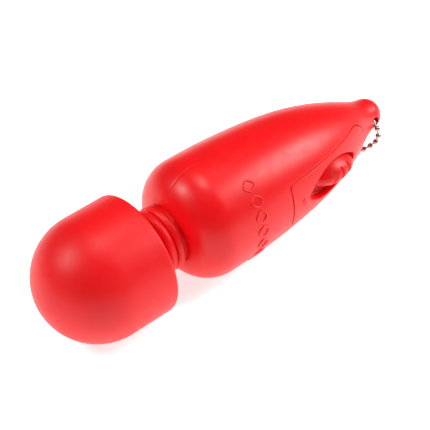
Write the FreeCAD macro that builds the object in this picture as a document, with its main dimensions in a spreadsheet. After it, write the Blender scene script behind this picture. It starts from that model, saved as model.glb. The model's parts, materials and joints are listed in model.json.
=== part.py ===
import FreeCAD, Part
import math
import os
import re

import Sketcher

# Mini wand massager on a ball chain, lying on its side.
# Row frame: +X from the head to the tail, +Z up, the thumb slider on the -Y side, and the
# origin under the middle of the object, on the surface that it lies on.
# Every outline is drawn about the wand's own axis, with x measured from the nose.

DRIVING = {
    # overall shape
    "overall_length": 100.0, "head_radius": 14.5, "head_length": 25.4, "rim_corner": 0.9,
    "cap_skin": 2.0, "body_front": 34.0, "body_mouth": 7.566, "widest": 42.6, "shoulder_arc": 8.8,
    "flank_end": 67.8, "flank_arc": 192.0, "tail_arc": 75.0, "lug_radius": 4.0, "wall": 1.5,
    "cavity_end": 89.9, "hole_place": 95.8, "hole_radius": 1.15,
    # flexible neck
    "neck_bore": 5.0, "throat": 6.3, "flange_radius": 7.2, "flange": 1.1, "neck_groove": 6.8,
    "first_rib": 26.5, "rib_pitch": 2.3, "rib_arc": 1.16, "grip": 0.05,
    # motor
    "carrier_front": 10.5, "carrier_radius": 8.8, "motor_radius": 7.5, "motor_front": 8.5,
    "motor_end": 21.5, "can_skin": 0.5, "bell_depth": 1.6, "shaft_radius": 0.75, "shaft_front": 3.4,
    "terminal_near": 2.0, "terminal_far": 3.2, "terminal_half": 0.9,
    "running": 0.05, "armature_radius": 4.9, "magnet_bore": 5.4, "weight_front": 3.7,
    "weight_length": 4.0, "weight_radius": 5.2, "fit": 0.1,
    # battery door and the oval recess in it
    "door_front": 59.7, "door_end": 89.2, "door_half_front": 5.7, "door_half_end": 5.2,
    "door_corner": 0.9, "door_tail_corner": 4.0, "door_gap": 0.15, "recess_place": 74.3,
    "recess_half_length": 9.2, "recess_half_width": 4.0, "recess_tip": 1.3, "recess_depth": 2.6,
    "recess_floor": 1.0, "tub_wall": 0.7, "rest_depth": 0.9, "rest_reach": 1.5, "rest_half": 4.0,
    # thumb slider and slide switch
    "knob_half_length": 6.2, "knob_half_width": 3.3, "knob_tip": 1.6, "knob_offset": 2.2,
    "knob_crown": 2.2, "knob_round": 1.2, "slide_gap": 0.2, "groove_pitch": 2.5, "groove_shift": 0.7,
    "groove_half": 1.8, "groove_tip": 0.6, "groove_depth": 0.7, "slide_travel": 4.0, "stem_shift": 2.6,
    "stem_length": 3.0, "stem_width": 2.2, "stem_reach": 4.6, "clip_plate": 0.8, "prong": 0.7,
    "lever": 1.6, "lever_gap": 0.25, "switch_top": 5.6, "switch_depth": 2.3, "switch_length": 8.4,
    "switch_width": 5.0,
    # batteries
    "cell_radius": 5.8, "cell_length": 5.4, "cell_front": 58.6, "cell_shift": 2.6, "cell_step": 0.5,
    "tray_wall": 0.8, "tray_front": 54.3, "tray_end": 75.3, "plate": 0.4, "plate_half": 4.1,
    "spring_radius": 3.0, "spring_wire": 0.5,
    # leads and ball chain
    "lead": 0.9, "bead": 1.5, "coupling_radius": 1.2, "coupling_length": 7.0,
}

# Lengths that follow from the driving ones.
FORMULAS = {
    "lug_place": "(overall_length - lug_radius)",
    "flank_sine": "((flank_end - widest) / flank_arc)",
    "flank_cosine": "(sqrt(1 - flank_sine^2))",
    "flank_radius": "(head_radius - flank_arc * (1 - flank_cosine))",
    "tail_place": "(flank_end - tail_arc * flank_sine)",
    "tail_height": "(flank_radius - tail_arc * flank_cosine)",
    "lug_start": "(tail_place + sqrt(tail_arc^2 - (lug_radius - tail_height)^2))",
    "cavity_radius": "(tail_height + sqrt((tail_arc - wall)^2 - (cavity_end - tail_place)^2))",
    "shoulder_height": "(head_radius - shoulder_arc)",
    "inner_front": "(body_front + wall)",
    "inner_mouth": "(shoulder_height + sqrt((shoulder_arc - wall)^2 - (widest - inner_front)^2))",
    "cap_bore": "(head_radius - cap_skin)",
    "disc_front": "(head_length - cap_skin)",
    "recess_height": "(tail_height + sqrt(tail_arc^2 - (recess_place - tail_place)^2))",
    "recess_sine": "((recess_place - tail_place) / tail_arc)",
    "floor_under": "(recess_depth + recess_floor)",
    "stem_place": "(knob_offset + stem_shift)",
    "lever_top": "(stem_reach + 0.3)",
    "clip_under": "(floor_under + slide_gap + clip_plate)",
    "cells_end": "(cell_front + 3 * cell_length)",
}

doc = FreeCAD.newDocument("mini_wand_massager")
dims = doc.addObject("Spreadsheet::Sheet", "dims")
for row, (alias, number) in enumerate(DRIVING.items(), start=1):
    dims.set(f"A{row}", alias)
    dims.set(f"B{row}", str(number))
    dims.setAlias(f"B{row}", alias)
doc.recompute()


def bind(text):
    """An expression on the sheet, from plain words and the formulas above."""
    def name(match):
        word = match.group(0)
        if word in FORMULAS:
            return bind(FORMULAS[word])
        return f"dims.{word}" if word in DRIVING else word
    return re.sub(r"[a-z_]+", name, str(text))


def value(text):
    return float(dims.evalExpression(bind(text)))


def vector(x, y, z=0.0):
    return FreeCAD.Vector(x, y, z)


# ---------------------------------------------------------------- sketches and bodies

def origin_feature(body, role):
    return next(item for item in body.Origin.OriginFeatures if item.Role == role)


def new_body(label):
    body = doc.addObject("PartDesign::Body", label)
    body.Label = label
    return body


def new_sketch(body, plane, offset="0"):
    """A sketch on one of the body's own planes, raised by offset along the plane's normal."""
    sketch = body.newObject("Sketcher::SketchObject", "outline")
    sketch.AttachmentSupport = [(origin_feature(body, plane), "")]
    sketch.MapMode = "FlatFace"
    sketch.setExpression("AttachmentOffset.Base.z", bind(offset))
    return sketch


def pin_point(sketch, geometry, end, x, y):
    """Hold one point of the sketch at x, y, both bound to the sheet."""
    for kind, text, axis in (("DistanceX", x, -2), ("DistanceY", y, -1)):
        number = value(text)
        if abs(number) < 1e-9:
            sketch.addConstraint(Sketcher.Constraint("PointOnObject", geometry, end, axis))
        else:
            index = sketch.addConstraint(
                Sketcher.Constraint(kind, -1, 1, geometry, end, number))
            sketch.setExpression(f"Constraints[{index}]", bind(text))


def arc_between(start, end, radius, side):
    """The short arc from start to end; side +1 bulges to the left of the way, -1 to the right."""
    chord = end - start
    left = vector(-chord.y, chord.x).normalize()
    height = radius - math.sqrt(radius ** 2 - (chord.Length / 2) ** 2)
    return Part.Arc(start, (start + end) / 2 + left * height * side, end)


def draw(sketch, steps):
    """A closed outline. A step is a corner (x, y), or (x, y, radius, side) for an arc to it."""
    corners = [vector(value(step[0]), value(step[1])) for step in steps]
    ends = []
    for index, step in enumerate(steps):
        start, end = corners[index - 1], corners[index]
        if len(step) == 2:
            geometry = sketch.addGeometry(Part.LineSegment(start, end))
        else:
            arc = arc_between(start, end, value(step[2]), step[3])
            geometry = sketch.addGeometry(arc)
            radius = sketch.addConstraint(
                Sketcher.Constraint("Radius", geometry, value(step[2])))
            sketch.setExpression(f"Constraints[{radius}]", bind(step[2]))
        first = sketch.getPoint(geometry, 1)
        forward = (first - start).Length < (first - end).Length
        ends.append((geometry, 1 if forward else 2, 2 if forward else 1))
    for index, step in enumerate(steps):
        geometry, _, last = ends[index]
        following, first, _ = ends[(index + 1) % len(steps)]
        sketch.addConstraint(Sketcher.Constraint("Coincident", geometry, last, following, first))
        pin_point(sketch, geometry, last, step[0], step[1])


def draw_circle(sketch, x, y, radius):
    centre = vector(value(x), value(y))
    geometry = sketch.addGeometry(Part.Circle(centre, vector(0, 0, 1), value(radius)))
    index = sketch.addConstraint(Sketcher.Constraint("Radius", geometry, value(radius)))
    sketch.setExpression(f"Constraints[{index}]", bind(radius))
    pin_point(sketch, geometry, 3, x, y)


def rectangle(left, right, low, high):
    return [(left, low), (right, low), (right, high), (left, high)]


def oval(length, width, tip, place="0"):
    """Four tangent arcs: half length, half width, radius of the tips, and the centre's place."""
    side = f"(({length})^2 + ({width})^2 - 2 * ({length}) * ({tip})) / (2 * (({width}) - ({tip})))"
    joint_x = f"((({length}) - ({tip})) * (1 + ({tip}) / ({side} - ({tip}))))"
    joint_y = f"(({tip}) * ({side} - ({width})) / ({side} - ({tip})))"
    right, left = f"{place} + {joint_x}", f"{place} - {joint_x}"
    return [(right, joint_y, tip, -1), (left, joint_y, side, -1),
            (left, f"-{joint_y}", tip, -1), (right, f"-{joint_y}", side, -1)]


def turn(body, steps, plane="XY_Plane", degrees=360, backwards=False):
    """Revolve an outline about the body's X axis."""
    sketch = new_sketch(body, plane)
    draw(sketch, steps)
    feature = body.newObject("PartDesign::Revolution", "turned")
    feature.Profile = sketch
    feature.ReferenceAxis = (sketch, ["H_Axis"])
    feature.Angle = degrees
    feature.Reversed = backwards
    return feature


def turned(label, steps, **options):
    body = new_body(label)
    turn(body, steps, **options)
    return body


def slab(body, low, high, steps, plane="XZ_Plane"):
    """Pad an outline between two heights above one of the body's planes."""
    sketch = new_sketch(body, plane, low)
    draw(sketch, steps)
    feature = body.newObject("PartDesign::Pad", "slab")
    feature.Profile = sketch
    feature.setExpression("Length", bind(f"({high}) - ({low})"))
    return feature


def sink(body, low, high, steps, plane="XZ_Plane"):
    """Pocket an outline between two heights above one of the body's planes."""
    sketch = new_sketch(body, plane, high)
    draw(sketch, steps)
    feature = body.newObject("PartDesign::Pocket", "pocket")
    feature.Profile = sketch
    feature.setExpression("Length", bind(f"({high}) - ({low})"))
    return feature


def combine(kind, label, first, *others):
    """A Part::Cut, Part::Common or Part::MultiFuse of finished solids."""
    result = doc.addObject(kind, label)
    result.Label = label
    if kind == "Part::MultiFuse":
        result.Shapes = [first, *others]
    else:
        result.Base, result.Tool = first, others[0]
    return result


# ---------------------------------------------------------------- places

def on_axis(item, x="0", y="0"):
    """Put a sub-part drawn about the wand's axis into the row frame."""
    item.setExpression("Placement.Base.x", bind(f"{x} - overall_length / 2"))
    item.setExpression("Placement.Base.y", bind(y))
    item.setExpression("Placement.Base.z", bind("head_radius"))
    return item


def on_slide(item):
    """Put a sub-part drawn about the recess's centre, along the door's own slope."""
    item.setExpression("Placement.Rotation.Angle", bind("asin(recess_sine)"))
    return on_axis(item, "recess_place", "-recess_height")


def tilted_in_place(item):
    """Tilt a tool about the recess's centre while it stays in the wand's own coordinates."""
    item.setExpression("Placement.Base.x", bind("recess_place"))
    item.setExpression("Placement.Base.y", bind("-recess_height"))
    item.setExpression("Placement.Rotation.Angle", bind("asin(recess_sine)"))
    return item


# ---------------------------------------------------------------- head

def make_head():
    cap = turned("head_cap", [
        ("0", "0"), ("head_radius", "head_radius", "head_radius", 1),
        ("head_length - rim_corner", "head_radius"),
        ("head_length", "head_radius - rim_corner", "rim_corner", 1),
        ("head_length", "cap_bore"), ("head_radius", "cap_bore"),
        ("cap_skin", "0", "cap_bore", -1)])
    tube = "motor_radius + fit"
    carrier = turned("motor_carrier", [
        ("carrier_front", tube), ("carrier_front", "carrier_radius"),
        ("disc_front", "carrier_radius"), ("disc_front", "cap_bore - fit"),
        ("head_length", "cap_bore - fit"), ("head_length", "throat"),
        ("disc_front", "throat"), ("disc_front", tube)])
    inside = "motor_radius - can_skin"
    can = turned("motor_can", [
        ("motor_front", "shaft_radius + running"), ("motor_front", "motor_radius"),
        ("motor_end", "motor_radius"), ("motor_end", inside),
        ("motor_front + 2 * can_skin", inside),
        ("motor_front + 2 * can_skin", "shaft_radius + running")])
    bell = turned("motor_end_bell", [
        ("motor_end - bell_depth", "shaft_radius + running"),
        ("motor_end - bell_depth", f"{inside} - running"),
        ("motor_end", f"{inside} - running"), ("motor_end", "shaft_radius + running")])
    magnets = turned("motor_magnets", [
        ("motor_front + 3 * can_skin", "magnet_bore"),
        ("motor_front + 3 * can_skin", f"{inside} - running"),
        ("motor_end - bell_depth - can_skin", f"{inside} - running"),
        ("motor_end - bell_depth - can_skin", "magnet_bore")])
    terminals = new_body("motor_terminals")
    for low, high in (("terminal_near", "terminal_far"), ("-terminal_far", "-terminal_near")):
        slab(terminals, "motor_end", "motor_end + 1", rectangle("-terminal_half", "terminal_half", low, high),
             plane="YZ_Plane")
    return [on_axis(item) for item in (cap, carrier, can, bell, magnets, terminals)]


def make_rotor():
    shaft = turned("motor_shaft", [
        ("shaft_front", "0"), ("shaft_front", "shaft_radius"), ("motor_end", "shaft_radius"),
        ("motor_end", "0")])
    front, back = "motor_front + 5 * can_skin", "motor_end - bell_depth - 2 * can_skin"
    armature = turned("armature", [
        (front, "shaft_radius"), (front, "armature_radius"), (back, "armature_radius"),
        (back, "shaft_radius")])
    weight = new_body("eccentric_weight")
    hub = "(shaft_radius + 1)"
    slab(weight, "weight_front", "weight_front + weight_length", [
        (hub, "0"), (hub, f"-{hub}"), (f"-{hub}", f"-{hub}"), (f"-{hub}", "0"),
        ("-weight_radius", "0"), ("0", "weight_radius", "weight_radius", 1),
        ("weight_radius", "0", "weight_radius", 1)], plane="YZ_Plane")
    sketch = new_sketch(weight, "YZ_Plane", "weight_front")
    draw_circle(sketch, "0", "0", "shaft_radius")
    bore = weight.newObject("PartDesign::Pocket", "bore")
    bore.Profile = sketch
    bore.Type = "ThroughAll"
    bore.Reversed = True
    return [on_axis(item) for item in (shaft, armature, weight)]


def make_neck():
    disc, mouth = "disc_front", "inner_front"
    steps = [
        (f"{disc} - flange", "neck_bore"), (f"{disc} - flange", "flange_radius"),
        (disc, "flange_radius"), (disc, "throat - grip"), ("head_length", "throat - grip"),
        ("head_length", "neck_groove"), ("first_rib", "neck_groove")]
    for rib in range(1, 4):
        steps.append((f"first_rib + {rib} * rib_pitch", "neck_groove", "rib_arc", 1))
    steps += [
        ("body_front", "neck_groove"), ("body_front", "throat - grip"),
        (mouth, "throat - grip"), (mouth, "flange_radius"),
        (f"{mouth} + flange", "flange_radius"), (f"{mouth} + flange", "neck_bore")]
    return [on_axis(turned("neck_sleeve", steps))]


# ---------------------------------------------------------------- body shells and door

OUTSIDE = [
    ("body_front", "body_mouth"), ("widest", "head_radius", "shoulder_arc", 1),
    ("flank_end", "flank_radius", "flank_arc", 1), ("lug_start", "lug_radius", "tail_arc", 1),
    ("lug_place", "lug_radius"), ("overall_length", "0", "lug_radius", 1)]
INSIDE = [
    ("cavity_end", "0"), ("cavity_end", "cavity_radius"),
    ("flank_end - wall * flank_sine", "flank_radius - wall * flank_cosine", "tail_arc - wall", -1),
    ("widest", "head_radius - wall", "flank_arc - wall", -1),
    ("inner_front", "inner_mouth", "shoulder_arc - wall", -1)]


def half_shell(label, backwards):
    """Half of the body's wall with the solid tail lug, drilled across for the chain."""
    body = turned(label, OUTSIDE + INSIDE + [("inner_front", "throat"), ("body_front", "throat")],
                  plane="XZ_Plane", degrees=180, backwards=backwards)
    sketch = new_sketch(body, "XZ_Plane")
    draw_circle(sketch, "hole_place", "0", "hole_radius")
    hole = body.newObject("PartDesign::Pocket", "chain_hole")
    hole.Profile = sketch
    hole.Type = "ThroughAll"
    hole.Reversed = not backwards
    return body


def door_prism(label, growth):
    """The door's outline seen from -Y, drawn larger all round by growth."""
    body = new_body(label)
    front, end = f"(door_front - {growth})", f"(door_end + {growth})"
    high, low = f"(door_half_front + {growth})", f"(door_half_end + {growth})"
    slab(body, "0", "head_radius + wall", [
        (f"{front} + door_corner", f"-{high}", "door_corner", -1),
        (f"{end} - door_tail_corner", f"-{low}"),
        (end, f"-{low} + door_tail_corner", "door_tail_corner", -1),
        (end, f"{low} - door_tail_corner"),
        (f"{end} - door_tail_corner", low, "door_tail_corner", -1),
        (f"{front} + door_corner", high),
        (front, f"{high} - door_corner", "door_corner", -1),
        (front, f"-{high} + door_corner")])
    return body


def core(label, depth):
    """The solid inside the body's outer skin at a given depth, from its widest place to the tail."""
    end = f"(tail_height + sqrt((tail_arc - {depth})^2 - (cavity_end - tail_place)^2))"
    return turned(label, [
        ("widest", "0"), ("widest", f"head_radius - {depth}"),
        (f"flank_end - {depth} * flank_sine", f"flank_radius - {depth} * flank_cosine",
         f"flank_arc - {depth}", 1),
        ("cavity_end", end, f"tail_arc - {depth}", 1), ("cavity_end", "0")])


def tool_slab(label, low, high, steps, plane="XZ_Plane"):
    body = new_body(label)
    slab(body, low, high, steps, plane)
    return body


def make_shells():
    """Both halves; the right one is open for the door and has two rests that the door sits on."""
    left = half_shell("body_shell_left", backwards=True)
    plain = half_shell("plain_right_half", backwards=False)
    opened = combine("Part::Cut", "opened_right_half", plain,
                     door_prism("door_opening", "door_gap"))
    bands = combine("Part::MultiFuse", "rest_bands", *[
        tool_slab(label, "0", "head_radius", rectangle(near, far, "-rest_half", "rest_half"))
        for label, near, far in (
            ("front_band", "door_front - rest_reach", "door_front + rest_reach"),
            ("rear_band", "door_end - rest_reach", "cavity_end"))])
    layer = combine("Part::Cut", "rest_layer", core("under_skin", "wall"),
                    core("under_rests", "(wall + rest_depth)"))
    rests = combine("Part::Common", "door_rests", layer, bands)
    right = combine("Part::MultiFuse", "body_shell_right", opened, rests)
    return plain, [on_axis(left), on_axis(right)]


def make_door(plain):
    """A piece of the right half's wall, with an oval tub sunk into it for the thumb slider."""
    panel = combine("Part::Common", "door_panel", plain, door_prism("door_outline", "0"))
    tub = combine("Part::Common", "door_tub", core("body_solid", "0"), tilted_in_place(
        tool_slab("tub_outline", "-floor_under", "wall + wall",
                  oval("recess_half_length + tub_wall", "recess_half_width + tub_wall",
                       "recess_tip + tub_wall"))))
    recess = tilted_in_place(tool_slab("recess", "-recess_depth", "wall + wall", oval(
        "recess_half_length", "recess_half_width", "recess_tip")))
    half_stem = "(stem_length / 2 + slide_gap)"
    slot = tilted_in_place(tool_slab("stem_slot", "-floor_under - wall", "-recess_depth + wall",
                                     rectangle(f"stem_place - slide_travel - {half_stem}",
                                               f"stem_place + {half_stem}",
                                               "-(stem_width / 2 + slide_gap)",
                                               "stem_width / 2 + slide_gap")))
    door = combine("Part::Cut", "battery_door",
                   combine("Part::MultiFuse", "door_blank", panel, tub),
                   combine("Part::MultiFuse", "door_cuts", recess, slot))
    return [on_axis(door)]


# ---------------------------------------------------------------- slider and switch

def centred(place, length, width):
    """A rectangle about a place on the slide, from its whole length and width."""
    return rectangle(f"{place} - {length} / 2", f"{place} + {length} / 2",
                     f"-({width}) / 2", f"{width} / 2")


def groove(place):
    """A thumb groove across the slider, with round ends."""
    x, y = "groove_tip", "(groove_half - groove_tip)"
    return [(f"{place} + {x}", y), (place, "groove_half", "groove_tip", -1),
            (f"{place} - {x}", y, "groove_tip", -1), (f"{place} - {x}", f"-{y}"),
            (place, "-groove_half", "groove_tip", -1),
            (f"{place} + {x}", f"-{y}", "groove_tip", -1)]


def make_slider():
    knob = new_body("thumb_slider")
    base = "-recess_depth + slide_gap"
    crown = slab(knob, base, "knob_crown", oval("knob_half_length", "knob_half_width", "knob_tip",
                                                "knob_offset"))
    doc.recompute()
    top = min(range(len(crown.Shape.Faces)), key=lambda i: crown.Shape.Faces[i].CenterOfMass.y)
    rounded = knob.newObject("PartDesign::Fillet", "rounded_top")
    rounded.Base = (crown, [f"Face{top + 1}"])
    rounded.setExpression("Radius", bind("knob_round"))
    for number in (-1, 0, 1):
        sink(knob, "knob_crown - groove_depth", "knob_crown + wall",
             groove(f"(knob_offset - groove_shift + {number} * groove_pitch)"))
    slab(knob, "-stem_reach", base, centred("stem_place", "stem_length", "stem_width"))

    clip = new_body("slider_clip")
    slab(clip, "-clip_under", "-(floor_under + slide_gap)",
         oval("0.8 * knob_tip + stem_length / 2", "0.8 * knob_tip + stem_width / 4",
              "0.6 * knob_tip", "stem_place"))
    sink(clip, "-clip_under", "0", centred("stem_place", "stem_length", "stem_width"))
    reach = "lever / 2 + lever_gap"
    for side in ("-1", "1"):
        slab(clip, "-(lever_top + prong)", "-clip_under", centred(
            f"(stem_place + {side} * ({reach} + prong / 2))", "prong", "1.5 * lever"))
    return [on_slide(knob), on_slide(clip)]


def make_switch():
    """A slide switch under the door; its lever stands between the clip's two prongs."""
    case = new_body("switch_case")
    middle, under = "(stem_place - slide_travel / 2)", "-(switch_top + switch_depth)"
    slab(case, under, "-switch_top", centred(middle, "switch_length", "switch_width"))
    sink(case, f"{under} + plate", "-switch_top", centred(
        middle, "(slide_travel + lever + 2 * slide_gap)", "lever + 2 * slide_gap"))
    terminals = new_body("switch_terminals")
    slab(terminals, f"{under} + plate", f"{under} + 2 * plate", centred(
        f"({middle} + switch_length / 2 + lever / 2)", "lever", "switch_width"))
    for side in ("-1", "1"):
        middle_gap = f"{side} * switch_width / 4"
        sink(terminals, f"{under}", "-switch_top", rectangle(
            f"{middle} + switch_length / 2 + plate", f"{middle} + switch_length / 2 + 2 * lever",
            f"{middle_gap} - lever / 4", f"{middle_gap} + lever / 4"))
    actuator = new_body("switch_actuator")
    slab(actuator, f"{under} + 2 * plate", "-lever_top", centred("stem_place", "lever", "lever"))
    return [on_slide(item) for item in (case, terminals, actuator)]


# ---------------------------------------------------------------- battery bay

def make_battery_tray():
    """A trough round the cells with two ribs that stand on the left half's inside."""
    inner = "(cell_radius + fit)"
    outer = f"({inner} + tray_wall)"
    rib = "1.5 * tray_wall"
    options = {"plane": "XZ_Plane", "degrees": 180, "backwards": True}
    trough = turned("tray_trough", [("tray_front", inner), ("tray_front", outer),
                                    ("tray_end", outer), ("tray_end", inner)], **options)
    end_wall = turned("tray_end_wall", [("tray_front", "0"), ("tray_front", outer),
                                        (f"tray_front + {rib}", outer), (f"tray_front + {rib}", "0")])
    for item in (trough, end_wall):
        item.setExpression("Placement.Base.y", bind("cell_shift"))
    front_rib = turned("tray_front_rib", [
        ("tray_front", "0"), ("tray_front", "head_radius - 1.5 * wall"),
        (f"tray_front + {rib}", "head_radius - 1.5 * wall"), (f"tray_front + {rib}", "0")], **options)
    rear = "(tail_height + sqrt((tail_arc - wall)^2 - (tray_end + 1.5 * tray_wall - tail_place)^2) - fit)"
    rear_rib = turned("tray_rear_rib", [
        ("tray_end", "0"), ("tray_end", rear), (f"tray_end + {rib}", rear),
        (f"tray_end + {rib}", "0")], **options)
    under = "-(switch_top + switch_depth)"
    shelf = tilted_in_place(tool_slab("switch_shelf", f"{under} - {rib}", under, rectangle(
        "stem_place - lever", "stem_place + 2 * lever", "-switch_width / 2", "switch_width / 2")))
    post = tool_slab("shelf_post", "-wall", "0.8 * lever", rectangle(
        "tray_end", "tray_end + 1.5 * lever", "-switch_width / 2", "switch_width / 2"))
    tray = combine("Part::MultiFuse", "battery_tray", trough, end_wall, front_rib, rear_rib,
                   shelf, post)
    return [on_axis(tray)]


def make_batteries():
    made = []
    for number in range(3):
        cell = turned(f"button_cell_{number + 1}", [
            ("0", "0"), ("0", "cell_radius - 2 * cell_step"),
            ("cell_step", "cell_radius - 2 * cell_step"), ("cell_step", "cell_radius"),
            ("cell_length", "cell_radius"), ("cell_length", "0")])
        made.append(on_axis(cell, f"cell_front + {number} * cell_length", "cell_shift"))
    wall_end = "(tray_front + 1.5 * tray_wall)"
    negative = new_body("negative_contact")
    slab(negative, wall_end, f"{wall_end} + plate", rectangle(
        "-plate_half", "plate_half", "-plate_half", "plate_half"), plane="YZ_Plane")
    slab(negative, wall_end, f"{wall_end} + plate", rectangle(
        "-1.7 * plate_half", "-0.9 * plate_half", "-plate_half", "-plate_half / 3"),
         plane="YZ_Plane")
    positive = new_body("positive_contact")
    slab(positive, "cells_end", "cells_end + plate", rectangle(
        "-plate_half", "plate_half", "-plate_half", "plate_half"), plane="YZ_Plane")
    slab(positive, "cells_end", "cells_end + plate", rectangle(
        "-0.8 * plate_half", "-0.3 * plate_half", "-1.6 * plate_half", "-0.9 * plate_half"),
         plane="YZ_Plane")
    spring = new_body("contact_spring")
    sketch = new_sketch(spring, "XZ_Plane")
    start = f"({wall_end} + plate + spring_wire / 2)"
    draw_circle(sketch, start, "spring_radius", "spring_wire / 2")
    coil = spring.newObject("PartDesign::AdditiveHelix", "coil")
    coil.Profile = sketch
    coil.ReferenceAxis = (sketch, ["H_Axis"])
    coil.Mode = "height-turns-angle"
    coil.Turns = 3
    coil.setExpression("Height", bind(f"cell_front - spring_wire / 2 - {start}"))
    return made + [on_axis(item, y="cell_shift") for item in (negative, positive, spring)]


# ---------------------------------------------------------------- leads and ball chain

def tangent_path(points):
    """Straight runs joined by tangent arcs, each as large as its two runs allow."""
    edges, last = [], points[0]
    radii = []
    for before, corner, after in zip(points, points[1:], points[2:]):
        back, ahead = before - corner, after - corner
        reach = 0.45 * min(back.Length, ahead.Length)
        half_turn = (math.pi - back.getAngle(ahead)) / 2
        radii.append(reach / math.tan(half_turn))
        begin = corner + back.normalize() * reach
        end = corner + ahead.normalize() * reach
        inward = (begin + end) / 2 - corner
        sagitta = radii[-1] * (1 / math.cos(half_turn) - 1)
        middle = corner + inward.normalize() * sagitta
        edges += [Part.LineSegment(last, begin).toShape(), Part.Arc(begin, middle, end).toShape()]
        last = end
    edges.append(Part.LineSegment(last, points[-1]).toShape())
    return Part.Wire(edges), radii


def tube(label, route, diameter):
    """A round tube along a route; its volume is its section times its length."""
    points = [vector(*place) for place in route]
    path, radii = tangent_path(points)
    ring = Part.Circle(points[0], points[1] - points[0], diameter / 2).toShape()
    item = doc.addObject("Part::Feature", label)
    item.Label = label
    item.Shape = path.makePipeShell([Part.Wire(ring)], True, False)
    filled = item.Shape.Volume / (math.pi * diameter ** 2 / 4 * path.Length)
    print(f"{label}: length {path.Length:.1f}, volume ratio {filled:.4f}, radii",
          [round(radius, 1) for radius in radii])
    return item


# The chain's route in the row frame: out of the lug's hole on the slider's side, down and
# under the tail, round a loop that lies behind the body, and up into the hole's other mouth.
CHAIN_ROUTE = [
    (45.8, -0.05, 14.5), (45.5, -5.3, 14.7), (45.3, -5.6, 9.9), (43.5, -2.9, 7.1),
    (41.9, -0.3, 4.6), (40.4, 2.2, 2.2), (37.6, 6.0, 0.75), (33.5, 9.4, 0.75), (26.5, 11.2, 0.75),
    (18.0, 9.6, 0.75), (9.6, 9.9, 0.75), (5.4, 13.6, 0.75), (5.3, 18.8, 0.75),
    (9.2, 22.4, 0.75), (16.0, 22.5, 0.95), (22.0, 21.4, 1.2), (31.0, 19.2, 1.2),
    (37.6, 17.3, 0.75), (42.6, 14.2, 0.75), (45.6, 9.6, 2.4), (45.9, 6.6, 7.6),
    (45.8, 5.1, 14.1), (45.8, 0.05, 14.5)]
COUPLING_RUN = 15


def make_leads():
    """Two leads through the neck, and the leads that go on from them inside the body."""
    through = new_body("motor_leads")
    for side in ("-1", "1"):
        sketch = new_sketch(through, "YZ_Plane", "motor_end + 1")
        draw_circle(sketch, "0", f"{side} * neck_bore / 2", "lead / 2")
        wire = through.newObject("PartDesign::Pad", "lead")
        wire.Profile = sketch
        wire.setExpression("Length", bind("inner_front - motor_end"))
    begin, height, thick = value("inner_front + wall"), value("neck_bore / 2"), value("lead")
    red = tube("lead_switch", [
        (begin, 0, height), (41, -1.5, 4), (52, -3.5, 7.2), (64, -3.6, 7.8), (74, -3.2, 7.2),
        (80.5, -3.2, 5.2), (82.3, -2.8, 1.9)], thick)
    black = tube("lead_negative", [
        (begin, 0, -height), (42, -2.2, -3.6), (49, -5.0, -3.4), (55.4, -4.4, -3.1)], thick)
    link = tube("lead_positive", [
        (75.3, -0.65, -6.2), (78.2, -0.9, -6.1), (81.2, -2.2, -4.6), (82.3, -2.8, -1.9)], thick)
    return [on_axis(item) for item in (through, red, black, link)]


def make_chain():
    chain = tube("ball_chain", CHAIN_ROUTE, value("bead"))
    coupling = turned("chain_coupling", [
        ("-coupling_length / 2", "bead / 2 + running"), ("-coupling_length / 2", "coupling_radius"),
        ("coupling_length / 2", "coupling_radius"), ("coupling_length / 2", "bead / 2 + running")])
    near, far = (vector(*CHAIN_ROUTE[index]) for index in (COUPLING_RUN, COUPLING_RUN + 1))
    coupling.Placement = FreeCAD.Placement(
        (near + far) / 2, FreeCAD.Rotation(vector(1, 0, 0), far - near))
    return [chain, coupling]


# ---------------------------------------------------------------- the whole wand

plain_half, shells = make_shells()
pieces = (make_head() + make_rotor() + make_neck() + shells + make_door(plain_half)
          + make_slider() + make_switch() + make_battery_tray() + make_batteries()
          + make_leads() + make_chain())
doc.recompute()
for item in doc.Objects:
    if "Invalid" in item.State or "Error" in item.State:
        raise RuntimeError(f"{item.Label} failed: {item.State}")
os.makedirs("parts", exist_ok=True)
for item in pieces:
    if item.Shape.isNull() or not item.Shape.isValid() or not item.Shape.Solids:
        raise RuntimeError(f"{item.Label} has no valid solid")
    item.Shape.exportStep(f"parts/{item.Label}.step")
    print(f"{item.Label}: {item.Shape.Volume:.1f} mm3, {len(item.Shape.Solids)} solid(s)")
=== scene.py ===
"""Mini wand massager on a ball chain: its visible pieces, materials and studio.

The wand lies along X. Shapes are drawn in the wand's own millimetres: x from the nose along
the axis, y and z about the axis, the thumb slider on the -y side.
"""
import json
import math

import bmesh
import bpy
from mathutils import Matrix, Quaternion, Vector


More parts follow.
